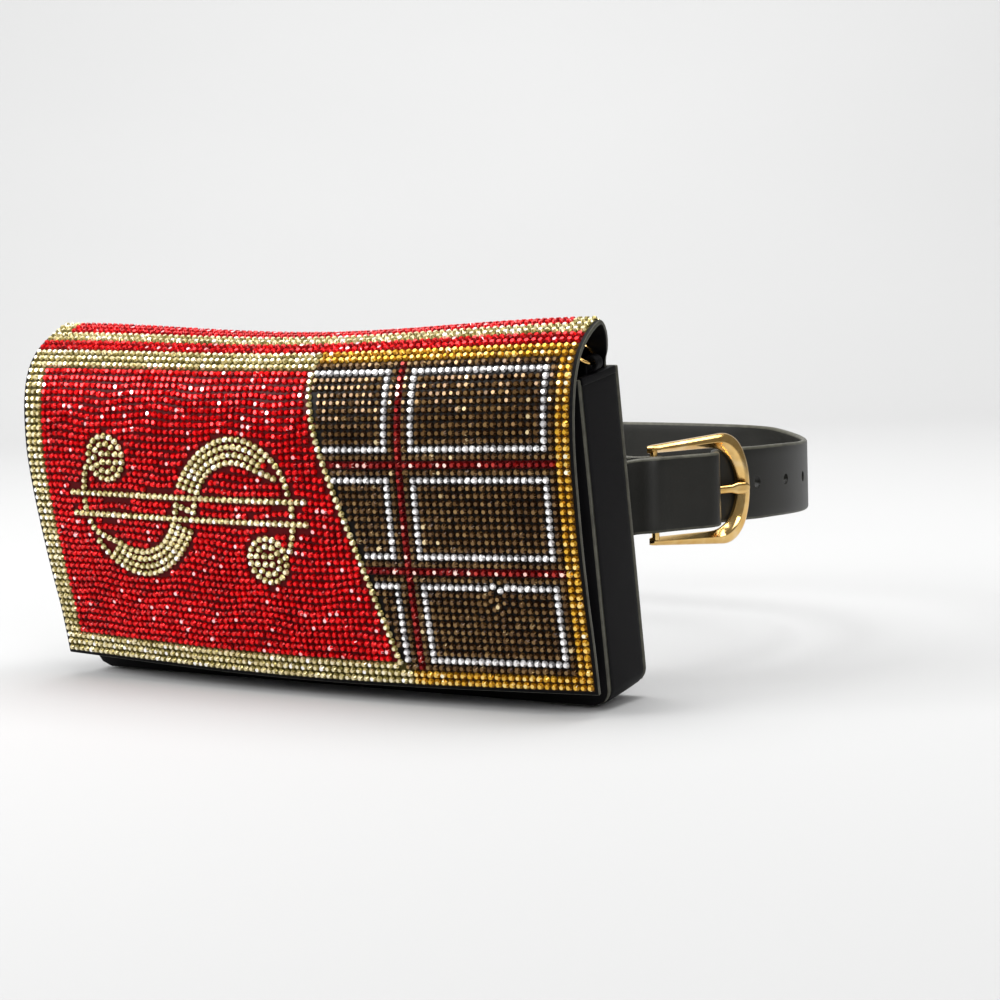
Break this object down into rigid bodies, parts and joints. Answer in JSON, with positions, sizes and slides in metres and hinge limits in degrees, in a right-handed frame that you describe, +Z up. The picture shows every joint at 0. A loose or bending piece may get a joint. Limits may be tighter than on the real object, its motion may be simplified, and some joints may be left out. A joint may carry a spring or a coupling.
{
  "type": "rhinestone belt bag",
  "caption": "Belt bag with a rhinestone flap showing a currency sign and an unwrapped chocolate bar, on a buckled waist strap.",
  "frame": {"origin": "centre of the waist loop, at the strap's mid height", "axes": "+X to the viewer's right across the flap, +Y from the bag towards the wearer's back, +Z up"},
  "size_m": [0.233, 0.2298, 0.1249],
  "materials": {
    "bag_leather": "matte black grained leather with a soft sheen",
    "strap_leather": "matte charcoal black strap leather",
    "snap_metal": "plain gold plated snap",
    "gold_metal": "polished light gold plating",
    "pale_gold_stones": "faceted champagne rhinestones with foil backs",
    "red_stones": "faceted red rhinestones with foil backs",
    "amber_stones": "faceted amber rhinestones with foil backs",
    "brown_stones": "faceted dark brown rhinestones with foil backs",
    "clear_stones": "faceted clear rhinestones with silver foil backs"
  },
  "bodies": {
    "root": {"back_panel": "bag_leather", "gusset": "bag_leather", "front_panel": "bag_leather", "flap": "bag_leather", "ring_tab": "bag_leather", "left_belt_loop": "bag_leather", "right_belt_loop": "bag_leather", "strap": "strap_leather", "closure_snap": "snap_metal", "buckle_frame": "gold_metal", "buckle_prong": "gold_metal", "side_ring": "gold_metal", "pale_border": "pale_gold_stones", "currency_figure": "pale_gold_stones", "wrapper_edge": "pale_gold_stones", "top_pale_band": "pale_gold_stones", "top_left_end": "pale_gold_stones", "top_right_end": "pale_gold_stones", "red_field": "red_stones", "tablet_grooves": "red_stones", "top_red_band": "red_stones", "top_rear_field": "red_stones", "amber_border": "amber_stones", "upper_right_square": "brown_stones", "upper_left_square": "brown_stones", "middle_right_square": "brown_stones", "middle_left_square": "brown_stones", "lower_right_square": "brown_stones", "lower_left_square": "brown_stones", "upper_right_frame": "clear_stones", "upper_left_frame": "clear_stones", "middle_right_frame": "clear_stones", "middle_left_frame": "clear_stones", "lower_right_frame": "clear_stones", "lower_left_frame": "clear_stones"}
  },
  "joints": []
}
